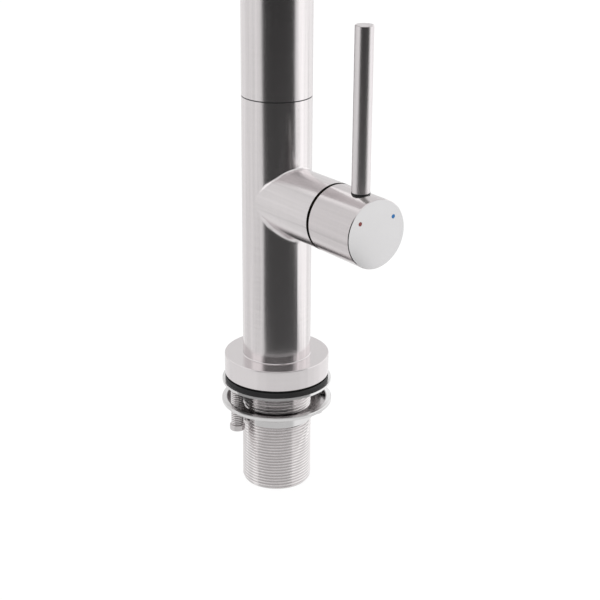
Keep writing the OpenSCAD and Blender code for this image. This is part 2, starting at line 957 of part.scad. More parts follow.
module aerator_shell() {
    color(nickel)
        translate([0, -reach, outlet_z + aerator_lift]) {
            ring(aerator_r, aerator_in, 0, aerator_l);
            ring(aerator_in + slip_gap, aerator_in - aerator_lip, 0, aerator_lip_t);
        }
}

// Centres of holes on a triangular grid inside a circle
function hole_grid(r, step) = [
    for (i = [-6 : 6])
        for (j = [-6 : 6])
            let (p = [step * (i + j / 2), step * j * sqrt(3) / 2])
                if (norm(p) < r) p
];

module aerator_core() {
    core_r = aerator_in - aerator_gap;
    color(white_plastic)
        translate([0, -reach, core_z])
            difference() {
                cylinder(h = core_t, r = core_r);
                for (p = hole_grid(core_r - core_hole_r - aerator_margin, core_step))
                    translate([p[0], p[1], -over])
                        cylinder(h = core_t + 2 * over, r = core_hole_r, $fn = 24);
            }
}

module aerator_screen() {
    screen_r = aerator_in - 2 * aerator_gap;
    color(worn_steel)
        translate([0, -reach, screen_z])
            difference() {
                cylinder(h = screen_t, r = screen_r);
                for (p = hole_grid(screen_r - screen_hole_r - aerator_margin, screen_step))
                    translate([p[0], p[1], -over])
                        cylinder(h = screen_t + 2 * over, r = screen_hole_r, $fn = 24);
            }
}

module aerator_washer() {
    z = outlet_z + aerator_lift + aerator_l + aerator_gap;
    color(rubber)
        translate([0, -reach, 0])
            ring(aerator_r, outlet_way_r, z, z + washer_rubber_t);
}

module clamp_gasket() {
    color(rubber)
        ring(washer_d / 2 - gasket_inset, shank_r + rubber_slack, gasket_bottom, -gasket_gap);
}

module clamp_washer() {
    color(steel)
        ring(washer_d / 2, shank_r + washer_slack, washer_bottom, gasket_bottom);
}

// Places a child at a clamp screw: k 0 is the front one and 1 the back one
module at_screw(k) {
    rotate([0, 0, screw_angle + 180 * k])
        translate([screw_circle_r, 0, 0])
            children();
}

module flange_nut() {
    color(worn_steel)
        difference() {
            rotate_extrude()
                polygon([
                    [nut_bore_r, nut_bottom],
                    [nut_hub_r, nut_bottom],
                    [nut_hub_r, nut_under],
                    [nut_hub_r + nut_hub_wall, nut_under],
                    [nut_r - nut_edge, nut_top - nut_rim_h],
                    [nut_r, nut_top - nut_rim_h + nut_edge],
                    [nut_r, nut_top - nut_edge],
                    [nut_r - nut_edge, nut_top],
                    [nut_r - nut_rim_w, nut_top],
                    [nut_r - nut_rim_w, nut_floor],
                    [nut_bore_r, nut_floor]
                ]);
            for (k = [0, 1]) {
                rotate([0, 0, notch_angle + 180 * k])
                    translate([0, -notch_w / 2, nut_bottom - over])
                        cube([nut_r, notch_w, nut_hub_h + over - notch_floor]);
                at_screw(k)
                    translate([0, 0, nut_bottom])
                        cylinder(h = nut_top - nut_bottom, r = screw_r + run_gap);
            }
        }
}

module clamp_screw(k) {
    head_bottom = screw_head_top - screw_head_h;
    turns = floor((screw_tip - screw_head_top) / screw_pitch) - 1;
    root = screw_r - thread_depth * screw_pitch;
    head_r = screw_head_d / 2;
    color(dark_steel)
        at_screw(k)
            difference() {
                rotate_extrude()
                    polygon(concat(
                        [[0, head_bottom], [head_r - head_edge, head_bottom]],
                        [[head_r, head_bottom + head_edge]],
                        [[head_r, screw_head_top], [root, screw_head_top]],
                        thread_teeth(screw_r, screw_pitch, screw_head_top + screw_pitch / 2, turns),
                        [[root, screw_tip - screw_edge], [root - screw_edge, screw_tip], [0, screw_tip]]
                    ));
                rotate([0, 0, head_slot_turn])
                    translate([-head_r - over, -head_slot_w / 2, head_bottom - over])
                        cube([screw_head_d + 2 * over, head_slot_w, head_slot_depth + over]);
            }
}

module clamp_screw_front() {
    clamp_screw(0);
}

module clamp_screw_back() {
    clamp_screw(1);
}

column_body();
base_flange();
base_seal();
threaded_shank();
water_block();
swivel_nipple();
nipple_orings();
glide_ring();
port_seals();
cartridge_shell();
cartridge_base();
fixed_disc();
cartridge_nut();
mouth_liner();
spindle_collar();
collar_oring();
spindle_pin();
moving_disc();
disc_carrier();
spindle();
handle_cap();
lever_rod();
lever_stud();
lever_washer();
cap_grub_screw();
hot_dot();
cold_dot();
spout_tube();
riser_plug();
arm_plug();
spout_bush();
spout_lock_screw();
aerator_shell();
aerator_core();
aerator_screen();
aerator_washer();
clamp_gasket();
clamp_washer();
flange_nut();
clamp_screw_front();
clamp_screw_back();
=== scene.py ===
import json
import math

import bmesh
import bpy
from mathutils import Matrix, Vector


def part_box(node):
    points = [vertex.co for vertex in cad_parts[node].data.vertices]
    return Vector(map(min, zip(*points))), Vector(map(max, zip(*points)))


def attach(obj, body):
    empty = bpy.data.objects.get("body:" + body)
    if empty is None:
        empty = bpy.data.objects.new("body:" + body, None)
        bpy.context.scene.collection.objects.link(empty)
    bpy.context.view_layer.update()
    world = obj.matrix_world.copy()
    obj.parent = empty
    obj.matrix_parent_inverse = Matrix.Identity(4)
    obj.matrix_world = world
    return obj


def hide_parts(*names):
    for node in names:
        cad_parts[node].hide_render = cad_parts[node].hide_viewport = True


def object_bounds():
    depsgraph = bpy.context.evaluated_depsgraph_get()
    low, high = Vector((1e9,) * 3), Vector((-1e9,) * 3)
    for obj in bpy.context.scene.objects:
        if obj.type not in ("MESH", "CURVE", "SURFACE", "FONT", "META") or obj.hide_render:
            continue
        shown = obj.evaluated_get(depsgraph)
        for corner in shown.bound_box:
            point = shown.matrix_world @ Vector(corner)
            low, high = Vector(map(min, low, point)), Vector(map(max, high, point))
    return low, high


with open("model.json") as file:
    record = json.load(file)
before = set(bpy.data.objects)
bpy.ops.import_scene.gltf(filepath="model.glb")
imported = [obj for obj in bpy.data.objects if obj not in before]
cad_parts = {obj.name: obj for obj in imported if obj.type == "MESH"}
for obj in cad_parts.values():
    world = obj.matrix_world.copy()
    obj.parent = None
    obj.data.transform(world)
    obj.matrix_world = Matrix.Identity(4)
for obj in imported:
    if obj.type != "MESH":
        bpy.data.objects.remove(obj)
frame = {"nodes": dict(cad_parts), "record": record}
cad_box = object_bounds()
nodes = frame["nodes"]
MM = 0.001

# Thread sizes in millimetres
SHANK_R, SHANK_PITCH, SHANK_BORE_R = 16.5, 1.5, 14.0
SCREW_R, SCREW_PITCH = 3.0, 1.0

# Shader maths


class Value:
    """An output socket of a shader node. Sums and products of values add Math nodes."""

    def __init__(self, tree, socket):
        self.tree = tree
        self.socket = socket

    def math(self, operation, *others):
        inputs = dict(enumerate((self, *others)))
        return node(self.tree, "ShaderNodeMath", {"operation": operation}, inputs)

    def __add__(self, other):
        return self.math("ADD", other)

    def __sub__(self, other):
        return self.math("SUBTRACT", other)

    def __mul__(self, other):
        return self.math("MULTIPLY", other)

    def __truediv__(self, other):
        return self.math("DIVIDE", other)

    def __gt__(self, other):
        return self.math("GREATER_THAN", other)

    def __lt__(self, other):
        return self.math("LESS_THAN", other)

    def __rsub__(self, other):
        settings = {"operation": "SUBTRACT"}
        return node(self.tree, "ShaderNodeMath", settings, {0: other, 1: self})

    __radd__ = __add__
    __rmul__ = __mul__


def node(tree, kind, settings=None, inputs=None, out=0):
    """Adds a node: its settings first, then its sockets' values or links."""
    made = tree.nodes.new(kind)
    for key, value in (settings or {}).items():
        if key == "stops":
            ramp = made.color_ramp.elements
            while len(ramp) > 1:
                ramp.remove(ramp[-1])
            for i, (place, colour) in enumerate(value):
                stop = ramp[0] if i == 0 else ramp.new(place)
                stop.position = place
                stop.color = (*colour, 1)
        else:
            setattr(made, key, value)
    for key, value in (inputs or {}).items():
        if isinstance(value, Value):
            tree.links.new(value.socket, made.inputs[key])
        else:
            made.inputs[key].default_value = value
    return Value(tree, made.outputs[out])


def coordinates(tree, place):
    """The x, y and z of a vector."""
    split = node(tree, "ShaderNodeSeparateXYZ", None, {0: place})
    return [Value(tree, split.socket.node.outputs[i]) for i in range(3)]


def empty_material(name):
    """A new material without nodes, and its node tree."""
    material = bpy.data.materials.new(name)
    material.use_nodes = True
    material.node_tree.nodes.clear()
    return material, material.node_tree


def set_surface(tree, shader):
    """Makes a shader's socket the surface of the material."""
    end = tree.nodes.new("ShaderNodeOutputMaterial")
    tree.links.new(shader, end.inputs[0])


def add_object(name, data):
    """A new object in the scene, with a mesh or a camera."""
    made = bpy.data.objects.new(name, data)
    bpy.context.scene.collection.objects.link(made)
    return made


class Finish:
    """A material with a Principled shader, and the surface's own coordinates in metres."""

    def __init__(self, name, colour, roughness, metallic=0.0, **fixed):
        self.material, self.tree = empty_material(name)
        self.shader = self.tree.nodes.new("ShaderNodeBsdfPrincipled")
        set_surface(self.tree, self.shader.outputs[0])
        self.set("Base Color", (*colour, 1))
        self.set("Roughness", roughness)
        self.set("Metallic", metallic)
        for key, value in fixed.items():
            self.set(key.replace("_", " "), value)
        self.place = self.node("ShaderNodeTexCoord", out="Object")

    def node(self, kind, settings=None, inputs=None, out=0):
        return node(self.tree, kind, settings, inputs, out)

    def set(self, socket, value):
        if isinstance(value, Value):
            self.tree.links.new(value.socket, self.shader.inputs[socket])
        else:
            self.shader.inputs[socket].default_value = value

    def xyz(self):
        return coordinates(self.tree, self.place)

    def noise(self, scale, detail=2.0, rough=0.5):
        """Noise from 0 to 1; scale is per metre along x, y and z."""
        settings = {"operation": "MULTIPLY"}
        moved = self.node("ShaderNodeVectorMath", settings, {0: self.place, 1: scale})
        inputs = {"Vector": moved, "Scale": 1.0, "Detail": detail, "Roughness": rough}
        return self.node("ShaderNodeTexNoise", None, inputs)

    def ramp(self, value, *stops):
        return self.node("ShaderNodeValToRGB", {"stops": stops}, {0: value})

    def mix(self, factor, a, b):
        """A colour between a and b."""
        inputs = {"Factor": factor, 6: (*a, 1) if isinstance(a, tuple) else a}
        inputs[7] = (*b, 1) if isinstance(b, tuple) else b
        return self.node("ShaderNodeMix", {"data_type": "RGBA"}, inputs, out=2)

    def bump(self, height, depth):
        inputs = {"Height": height, "Distance": depth, "Strength": 1.0}
        self.set("Normal", self.node("ShaderNodeBump", None, inputs))


def shades(colour, *factors):
    """A ramp's stops, evenly spaced, each the colour times a factor."""
    last = max(1, len(factors) - 1)
    return [(i / last, tuple(c * f for c in colour)) for i, f in enumerate(factors)]


# Finishes

STEEL = (0.775, 0.740, 0.745)
FLANGE_STEEL = (0.760, 0.724, 0.730)
CAP_STEEL = (0.715, 0.675, 0.680)
FACE_STEEL = (0.595, 0.587, 0.591)
# Painted shade inside the nut's cup, and the cup's lighter painted side
CUP_SHADE_ZINC = (0.22, 0.205, 0.205)
CUP_LIT_ZINC = (0.55, 0.53, 0.53)

# Surfaces that a finish finds by their place, in metres
CAP_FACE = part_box("handle_cap")[1][0]
FACE_MARGIN = 0.05 * MM
COLUMN_SKIN = 16.03 * MM
LEVER_FOOT, LEVER_TOP = (corner[2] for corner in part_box("lever_rod"))
NUT_CUP_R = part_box("flange_nut")[1][0] - 2.2 * MM
NUT_CUP_BOTTOM, NUT_CUP_TOP = -15.2 * MM, -3.6 * MM
# Where the lighter painted side of the nut's cup begins, measured towards the right
CUP_LIT_FROM = 10.0 * MM

# Depths of bumps and of the painted shade in thread roots, in metres
BRUSH_DEPTH = 0.0015 * MM
PLATING_DEPTH = 0.004 * MM
ZINC_DEPTH = 0.003 * MM
RUBBER_DEPTH = 0.02 * MM
MOULD_DEPTH = 0.006 * MM
ROOT_SHADE_DEPTH = 0.6 * MM


def brushed(name, tube, roughness, colour=STEEL, branch=None, face=False, worn=0.0, painted_sheen=2.0):
    """Brushed metal. tube is the direction that the tube runs, x, y or z, and branch that of
    a second tube outside the column's skin; the brush lines go round them. painted_sheen is the
    strength of soft bands along the tube painted into the colour: painted reflection streaks.
    With face, the flat end at the highest x is polished to another tone. worn is how much
    rougher the lever's foot is than its top."""
    f = Finish(name, colour, roughness, 1.0)
    fine, coarse, slow = 4200.0, 1100.0, 45.0
    tube_end, tube_round = 9.0, 480.0

    def on(direction, along, around, detail):
        scale = [around, around, around]
        scale["xyz".index(direction)] = along
        return f.noise(scale, detail)

    def lines(along, around, detail):
        """Noise with one scale along the tube and another round it."""
        on_tube = on(tube, along, around, detail)
        if not branch:
            return on_tube
        x, y, _ = f.xyz()
        outside = (x * x + y * y) > COLUMN_SKIN ** 2
        return outside * on(branch, along, around, detail) + (1 - outside) * on_tube

    grain = lines(fine, slow, 2.0)
    streaks = lines(coarse, slow, 3.0)
    # Painted reflection: soft streaks along the tube in the colour, standing in for highlights
    # that the brushing spreads along it
    sheen_streaks = lines(tube_end, tube_round, 2.0)
    smudge = f.noise((38.0, 38.0, 30.0), 3.0)
    tone = grain * 0.3 + streaks * 0.3 + smudge * 0.15 + (sheen_streaks - 0.5) * painted_sheen + 0.125
    metal = f.ramp(tone, *shades(colour, 0.87, 0.955, 1.0, 1.035, 1.08))
    dull = roughness - 0.05 + grain * 0.06 + smudge * 0.05
    height = grain * 0.6 + streaks * 0.4
    if worn:
        z = f.xyz()[2]
        dull = dull + (LEVER_TOP - z) * (worn / (LEVER_TOP - LEVER_FOOT))
    if face:
        end = f.xyz()[0] > CAP_FACE - FACE_MARGIN
        fog = f.noise((160.0, 160.0, 160.0), 3.0)
        metal = f.mix(end, metal, f.ramp(fog, *shades(FACE_STEEL, 0.97, 1.0, 1.03)))
        dull = dull + end * (fog * 0.04 - 0.08)
        height = height * (1 - end * 0.7)
    f.set("Base Color", metal)
    f.set("Roughness", dull)
    f.bump(height, BRUSH_DEPTH)
    return f.material


def plated(name, colour, roughness):
    """Machined and plated metal: faint tool lines round z, and spots of duller plating."""
    f = Finish(name, colour, roughness, 1.0)
    tool = f.noise((80.0, 80.0, 2400.0), 2.0)
    spots = f.noise((420.0, 420.0, 420.0), 4.0, 0.6)
    f.set("Base Color", f.ramp(spots * 0.6 + tool * 0.4, *shades(colour, 0.84, 0.97, 1.0, 1.05)))
    f.set("Roughness", roughness - 0.08 + spots * 0.16)
    f.bump(tool * 0.5 + spots * 0.5, PLATING_DEPTH)
    return f.material


def zinc(name, colour, roughness):
    """Turned, zinc-plated steel. The inside of the nut's cup gets painted shade, with a lighter
    painted tone on the side that the camera sees at the right."""
    f = Finish(name, colour, roughness, 1.0)
    x, y, z = f.xyz()
    tool = f.noise((80.0, 80.0, 900.0), 2.0)
    spots = f.noise((380.0, 380.0, 380.0), 4.0, 0.6)
    out = (x * x + y * y).math("SQRT")
    cup = (out < NUT_CUP_R) * (z < NUT_CUP_TOP) * (z > NUT_CUP_BOTTOM)
    clean = f.ramp(spots * 0.6 + tool * 0.4, *shades(colour, 0.86, 0.97, 1.0, 1.04))
    # Painted light: the cup is shaded dark inside and painted lighter on its right side
    cup_shade = f.ramp(spots, *shades(CUP_SHADE_ZINC, 0.5, 1.0, 1.5))
    cup_lit = f.ramp(spots, *shades(CUP_LIT_ZINC, 0.7, 1.0, 1.3))
    to_the_right = x * 0.6 + y * 0.8
    cup_shade = f.mix(to_the_right > CUP_LIT_FROM, cup_shade, cup_lit)
    f.set("Base Color", f.mix(cup, clean, cup_shade))
    f.set("Roughness", roughness - 0.06 + spots * 0.12)
    f.bump(tool * 0.4 + spots * 0.6, ZINC_DEPTH)
    return f.material


def threaded_metal(name, colour, roughness, crest=0.0, centre=(0.0, 0.0), root_shade=0.4):
    """Plated thread: no fine lines, only patches of duller plating. crest is the thread's
    radius in mm round centre; the roots under it get painted shade, darkened towards a share of
    the colour."""
    f = Finish(name, colour, roughness, 1.0)
    patches = f.noise((260.0, 260.0, 130.0), 3.0, 0.6)
    metal = f.ramp(patches, *shades(colour, 0.72, 0.92, 1.0, 1.05))
    if crest:
        x, y, _ = f.xyz()
        x = x - centre[0] * MM
        y = y - centre[1] * MM
        # Painted shade: the thread's roots are darkened, deepest furthest under the crest
        under = (crest * MM - (x * x + y * y).math("SQRT")) / ROOT_SHADE_DEPTH
        shaded_roots = f.ramp(under, (0.15, (0, 0, 0)), (0.9, (1, 1, 1)))
        metal = f.mix(shaded_roots, metal, tuple(c * root_shade for c in colour))
    f.set("Base Color", metal)
    f.set("Roughness", roughness - 0.05 + patches * 0.16)
    return f.material


def rubber(name):
    f = Finish(name, (0.012, 0.012, 0.013), 0.55, Specular_IOR_Level=0.35)
    skin = f.noise((900.0, 900.0, 900.0), 4.0, 0.6)
    bloom = f.noise((70.0, 70.0, 140.0), 3.0)
    dark, grey = (0.008, 0.008, 0.009), (0.020, 0.020, 0.020)
    f.set("Base Color", f.ramp(bloom, (0.25, dark), (0.8, grey)))
    f.set("Roughness", 0.46 + skin * 0.18)
    f.bump(skin, RUBBER_DEPTH)
    return f.material


def moulded(name, colour, roughness, spread=0.12, **fixed):
    """Moulded plastic or fired ceramic with a fine skin and slight tone changes."""
    f = Finish(name, colour, roughness, **fixed)
    skin = f.noise((1500.0, 1500.0, 1500.0), 3.0)
    tone = f.noise((90.0, 90.0, 90.0), 3.0)
    f.set("Base Color", f.ramp(tone, *shades(colour, 1 - spread, 1.0, 1 + spread / 2)))
    f.set("Roughness", roughness - 0.05 + skin * 0.1)
    f.bump(skin, MOULD_DEPTH)
    return f.material


FINISHES = {
    "column_steel": brushed("column_steel", "z", 0.22, branch="x"),
    "spout_steel": brushed("spout_steel", "z", 0.22, branch="y"),
    "plug_steel": brushed("plug_steel", "z", 0.45, painted_sheen=0.3),
    "flange_steel": brushed("flange_steel", "z", 0.20, FLANGE_STEEL, painted_sheen=0.3),
    "lever_steel": brushed("lever_steel", "z", 0.30, worn=0.12),
    "cap_steel": brushed("cap_steel", "x", 0.18, CAP_STEEL, face=True),
    "plated_thread": plated("plated_thread", (0.66, 0.64, 0.63), 0.26),
    # The shank's thread roots get strong painted shade
    "shank_plating": threaded_metal(
        "shank_plating", (0.96, 0.925, 0.925), 0.12, SHANK_R, root_shade=0.72),
    "screw_steel": threaded_metal("screw_steel", (0.74, 0.71, 0.71), 0.13),
    "zinc_steel": zinc("zinc_steel", (0.80, 0.79, 0.79), 0.24),
    "plain_steel": plated("plain_steel", (0.52, 0.51, 0.50), 0.3),
    "dark_steel": plated("dark_steel", (0.42, 0.41, 0.41), 0.3),
    "brass": plated("brass", (0.70, 0.50, 0.22), 0.28),
    "rubber": rubber("rubber"),
    "black_plastic": moulded("black_plastic", (0.018, 0.018, 0.019), 0.42),
    # Painted shade: the mouth liner is near-black to stand for the shade in the gap between
    # housing and cap
    "gap_shade_black": moulded("gap_shade_black", (0.004, 0.004, 0.004), 0.5, Specular_IOR_Level=0.1),
    "white_plastic": moulded("white_plastic", (0.80, 0.80, 0.77), 0.38, 0.04),
    "ceramic": moulded("ceramic", (0.86, 0.85, 0.81), 0.14, 0.03),
    "hot_red": moulded("hot_red", (0.24, 0.045, 0.04), 0.35),
    "cold_blue": moulded("cold_blue", (0.005, 0.15, 0.42), 0.35),
}

# Nodes with a finish of their own; the others have the finish of their record's slot
SPECIAL = {
    "column_body": "column_steel",
    "base_flange": "flange_steel",
    "spout_tube": "spout_steel",
    "riser_plug": "plug_steel",
    "arm_plug": "plug_steel",
    "lever_rod": "lever_steel",
    "handle_cap": "cap_steel",
    # The mouth liner carries the painted shade of the gap
    "mouth_liner": "gap_shade_black",
}
slots = {s["node"]: s["material_slot"] for s in frame["record"]["subparts"]}
for name, piece in nodes.items():
    finish = SPECIAL.get(name, slots[name])
    piece.data.materials.clear()
    piece.data.materials.append(FINISHES[finish])


# Pieces in finer form than the CAD has them

# Places across one pitch and heights above the root, as shares: a rounded 60 degree thread
THREAD = [
    (0.00, 0.02), (0.09, 0.05), (0.17, 0.17), (0.40, 0.88), (0.45, 0.97),
    (0.50, 1.00), (0.55, 0.97), (0.60, 0.88), (0.83, 0.17), (0.91, 0.05),
]
# Depth of the thread as a share of the pitch
THREAD_DEPTH = 0.6134
# Vertices nearer than this, in millimetres, are merged: in a finished mesh and at a cut
MERGE = 1e-4
CUT_MERGE = 1e-3


def circle(radius, z, steps):
    """Points of a circle round z."""
    turn = [2 * math.pi * i / steps for i in range(steps)]
    return [(radius * math.cos(a), radius * math.sin(a), z) for a in turn]


def finish_mesh(bm, name, material, smooth_angle=40):
    """Turns a mesh in millimetres into an object, smooth up to an angle between faces."""
    bmesh.ops.remove_doubles(bm, verts=bm.verts, dist=MERGE)
    bmesh.ops.recalc_face_normals(bm, faces=bm.faces)
    bmesh.ops.scale(bm, vec=(MM, MM, MM), verts=bm.verts)
    mesh = bpy.data.meshes.new(name)
    bm.to_mesh(mesh)
    bm.free()
    mesh.polygons.foreach_set("use_smooth", [True] * len(mesh.polygons))
    mesh.set_sharp_from_angle(angle=math.radians(smooth_angle))
    mesh.materials.append(material)
    return add_object(name, mesh)


def helix(bm, radius, pitch, low, high, limit, steps):
    """The outside of a right-hand thread round z. limit(z) caps the radius near the ends."""
    turns = math.ceil((high - low) / pitch) + 3
    depth = THREAD_DEPTH * pitch
    rows = []
    for i in range(turns * steps + 1):
        a = 2 * math.pi * i / steps
        row = []
        for share, height in THREAD:
            z = low + (i / steps - 2 + share) * pitch
            r = min(radius - depth * (1 - height), limit(z))
            row.append(bm.verts.new((r * math.cos(a), r * math.sin(a), z)))
        rows.append(row)
    last = len(THREAD) - 1
    for i in range(turns * steps):
        for k in range(last):
            bm.faces.new((rows[i][k], rows[i + 1][k], rows[i + 1][k + 1], rows[i][k + 1]))
        above = i + steps
        if above + 1 < len(rows):
            joint = (rows[i][last], rows[i + 1][last], rows[above + 1][0], rows[above][0])
            bm.faces.new(joint)


def tube_wall(bm, radius, low, high, steps):
    """A plain round wall about z."""
    lower = [bm.verts.new(spot) for spot in circle(radius, low, steps)]
    upper = [bm.verts.new(spot) for spot in circle(radius, high, steps)]
    for i in range(steps):
        j = (i + 1) % steps
        bm.faces.new((lower[i], lower[j], upper[j], upper[i]))


def cut_flat(bm, z, keep_above):
    """Cuts a mesh at a height and closes it there, in two passes: the second closes the
    small holes that the first may leave."""
    normal = (0, 0, -1) if keep_above else (0, 0, 1)
    parts = bm.verts[:] + bm.edges[:] + bm.faces[:]
    bmesh.ops.bisect_plane(bm, geom=parts, plane_co=(0, 0, z), plane_no=normal, clear_outer=True)
    bmesh.ops.remove_doubles(bm, verts=bm.verts, dist=CUT_MERGE)

    def rim():
        open_edges = [edge for edge in bm.edges if edge.is_boundary]
        return [e for e in open_edges if all(abs(v.co.z - z) < CUT_MERGE for v in e.verts)]

    bmesh.ops.triangle_fill(bm, edges=rim(), use_beauty=True)
    bmesh.ops.holes_fill(bm, edges=rim(), sides=0)


def threaded(name, material, radius, pitch, low, high, lead, bore=0.0, steps=96):
    """A threaded rod or tube round z, in millimetres, with ends chamfered to just under the
    thread's root. lead is the length of a chamfer per millimetre of its depth."""
    bm = bmesh.new()
    under_root = 0.1
    least = radius - THREAD_DEPTH * pitch - under_root

    def limit(z):
        return max(least, min(radius, least + (min(z - low, high - z) + under_root) / lead))

    helix(bm, radius, pitch, low, high, limit, steps)
    if bore:
        tube_wall(bm, bore, low - 2 * pitch, high + 2 * pitch, steps)
    cut_flat(bm, low, True)
    cut_flat(bm, high, False)
    return finish_mesh(bm, name, material)


def lathe(name, material, outline, steps=64):
    """A solid of revolution round z from an outline of (radius, z) in millimetres."""
    bm = bmesh.new()
    rings = []
    for r, z in outline:
        spots = circle(r, z, steps) if r else [(0, 0, z)]
        rings.append([bm.verts.new(spot) for spot in spots])
    for a, b in zip(rings, rings[1:]):
        for i in range(steps):
            j = (i + 1) % steps
            corners = [a[i % len(a)], a[j % len(a)], b[j % len(b)], b[i % len(b)]]
            bm.faces.new(list(dict.fromkeys(corners)))
    return finish_mesh(bm, name, material, smooth_angle=30)


def carve(piece, place):
    """Cuts a box out of a piece; place puts a cube of 1 mm in millimetres."""
    bm = bmesh.new()
    bmesh.ops.create_cube(bm, size=1.0, matrix=place)
    cutter = finish_mesh(bm, "cutter", piece.data.materials[0])
    cut = piece.modifiers.new("cut", "BOOLEAN")
    cut.object = cutter
    cut.solver = "EXACT"
    bpy.context.view_layer.update()
    done = piece.evaluated_get(bpy.context.evaluated_depsgraph_get())
    shaped = bpy.data.meshes.new_from_object(done)
    piece.modifiers.clear()
    piece.data = shaped
    bpy.data.objects.remove(cutter)


def millimetres(name):
    """A node's lowest and highest corners in millimetres."""
    return [Vector(corner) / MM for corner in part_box(name)]


def sweep(bm, path, radius, sides):
    """A wire along points in millimetres that all lie near the x-y plane."""
    rings = []
    for i, spot in enumerate(path):
        ahead = path[min(i + 1, len(path) - 1)] - path[max(i - 1, 0)]
        side = ahead.cross(Vector((0, 0, 1))).normalized()
        over = side.cross(ahead).normalized()
        ring = []
        for k in range(sides):
            a = 2 * math.pi * k / sides
            ring.append(bm.verts.new(spot + radius * (math.cos(a) * side + math.sin(a) * over)))
        rings.append(ring)
    for one, two in zip(rings, rings[1:]):
        for k in range(sides):
            j = (k + 1) % sides
            bm.faces.new((one[k], one[j], two[j], two[k]))
    bm.faces.new(rings[0])
    bm.faces.new(rings[-1])


def woven_screen():
    """The aerator's screen: a woven wire mesh in a rolled rim."""
    low, high = millimetres("aerator_screen")
    centre = (low + high) / 2
    reach = (high.x - low.x) / 2
    wire_r, wire_sides, step = 0.11, 5, 0.62
    rim_r, rim_sides = 0.36, 12
    spots_per_step = 4
    bm = bmesh.new()
    span = reach - rim_r
    count = int(span / step)
    for across in (0, 1):
        for k in range(-count, count + 1):
            offset = k * step
            half = math.sqrt(span * span - offset * offset)
            n = max(4, round(2 * half / (step / spots_per_step)))
            path = []
            for i in range(n + 1):
                along = -half + 2 * half * i / n
                wave = wire_r * math.cos(math.pi * (along / step + k)) * (1 if across else -1)
                flat = (offset, along) if across else (along, offset)
                path.append(Vector((*flat, wave)) + centre)
            sweep(bm, path, wire_r, wire_sides)
    mesh = finish_mesh(bm, "screen_weave", FINISHES["screw_steel"])
    outline = []
    for i in range(rim_sides + 1):
        a = 2 * math.pi * i / rim_sides
        outline.append((span + rim_r * math.cos(a), rim_r * math.sin(a)))
    rim = lathe("screen_rim", FINISHES["screw_steel"], outline)
    rim.data.transform(Matrix.Translation(centre * MM))
    for piece in (mesh, rim):
        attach(piece, "spout")
        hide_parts("aerator_screen")


def shank_thread():
    """The shank with a true helical thread."""
    low, high = millimetres("threaded_shank")
    made = threaded("shank_thread", FINISHES["shank_plating"], high.x, SHANK_PITCH, low.z, high.z,
                    lead=1.3, bore=SHANK_BORE_R)
    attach(made, "tap_base")
    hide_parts("threaded_shank")


def clamp_screw(end, turn):
    """A slotted cheese-head screw; end is front or back, and turn the slot's bearing."""
    node_name = f"clamp_screw_{end}"
    low, high = millimetres(node_name)
    centre = (low + high) / 2
    head_r = (high.x - low.x) / 2
    head_h = 3.0
    neck = low.z + head_h
    edge_r, chamfer, overlap = 0.7, 0.3, 0.05
    slot_width, slot_depth = 1.2, 1.3
    name = f"screw_thread_{end}"
    # The screw's thread, with painted shade in its roots
    shaded_roots = threaded_metal(name, (0.95, 0.92, 0.92), 0.13, SCREW_R, (centre.x, centre.y))
    rod = threaded(name, shaded_roots, SCREW_R, SCREW_PITCH, neck - overlap, high.z, lead=0.7, steps=48)
    outline = [(0, low.z)]
    for a in range(0, 91, 15):
        bend = math.radians(a)
        r = head_r - edge_r + edge_r * math.sin(bend)
        outline.append((r, low.z + edge_r - edge_r * math.cos(bend)))
    outline += [(head_r, neck - chamfer), (head_r - chamfer, neck), (0, neck)]
    head = lathe(f"screw_head_{end}", FINISHES["screw_steel"], outline)
    slot = Matrix.Translation((0, 0, low.z)) @ Matrix.Rotation(math.radians(turn), 4, "Z")
    carve(head, slot @ Matrix.Diagonal((4 * head_r, slot_width, 2 * slot_depth, 1)))
    for piece in (rod, head):
        piece.data.transform(Matrix.Translation(Vector((centre.x, centre.y, 0)) * MM))
        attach(piece, f"screw_{end}")
    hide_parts(node_name)
    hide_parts(node_name)


def weld_blend(top_radius=1.3, bottom_radius=4.6, steps=144, bend=8):
    """The smooth blend between the column and its valve housing: a ball rolls round the
    joint of the two tubes and leaves the surface between its points of contact. The blend's
    edges sink a little into the tubes, and its back lies inside them."""
    column_r = -millimetres("spout_tube")[0].x
    low, high = millimetres("handle_cap")
    axis_z = (low.z + high.z) / 2
    housing_r = high.y
    sink, back_depth, least_cosine = 0.04, 0.3, 0.2
    bm = bmesh.new()
    rings = []
    for i in range(steps):
        a = 2 * math.pi * i / steps
        radius = top_radius + (bottom_radius - top_radius) * (1 - math.cos(a)) / 2
        y = (housing_r + radius) * math.sin(a)
        z = axis_z + (housing_r + radius) * math.cos(a)
        x = math.sqrt((column_r + radius) ** 2 - y * y)
        ball = Vector((x, y, z))
        to_column = Vector((-x, -y, 0)).normalized()
        to_housing = Vector((0, -math.sin(a), -math.cos(a)))
        bow = to_column.slerp(to_housing, 0.5)
        ring = []
        for k in range(bend + 1):
            way = to_column.slerp(to_housing, k / bend)
            deeper = sink if k in (0, bend) else 0.0
            ring.append(bm.verts.new(ball + way * (radius + deeper)))
        corner = ball + bow * (radius / max(least_cosine, to_column.dot(bow)) + back_depth)
        ring.append(bm.verts.new(corner))
        rings.append(ring)
    for i in range(steps):
        one, two = rings[i], rings[(i + 1) % steps]
        for k in range(bend + 2):
            j = (k + 1) % (bend + 2)
            bm.faces.new((one[k], one[j], two[j], two[k]))
    made = finish_mesh(bm, "weld_blend", FINISHES["column_steel"], smooth_angle=60)
    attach(made, "tap_base")


shank_thread()
weld_blend()
clamp_screw("front", 55)
clamp_screw("back", 20)
woven_screen()

# Studio: radii in metres, bearings in degrees from x, the camera's at -36

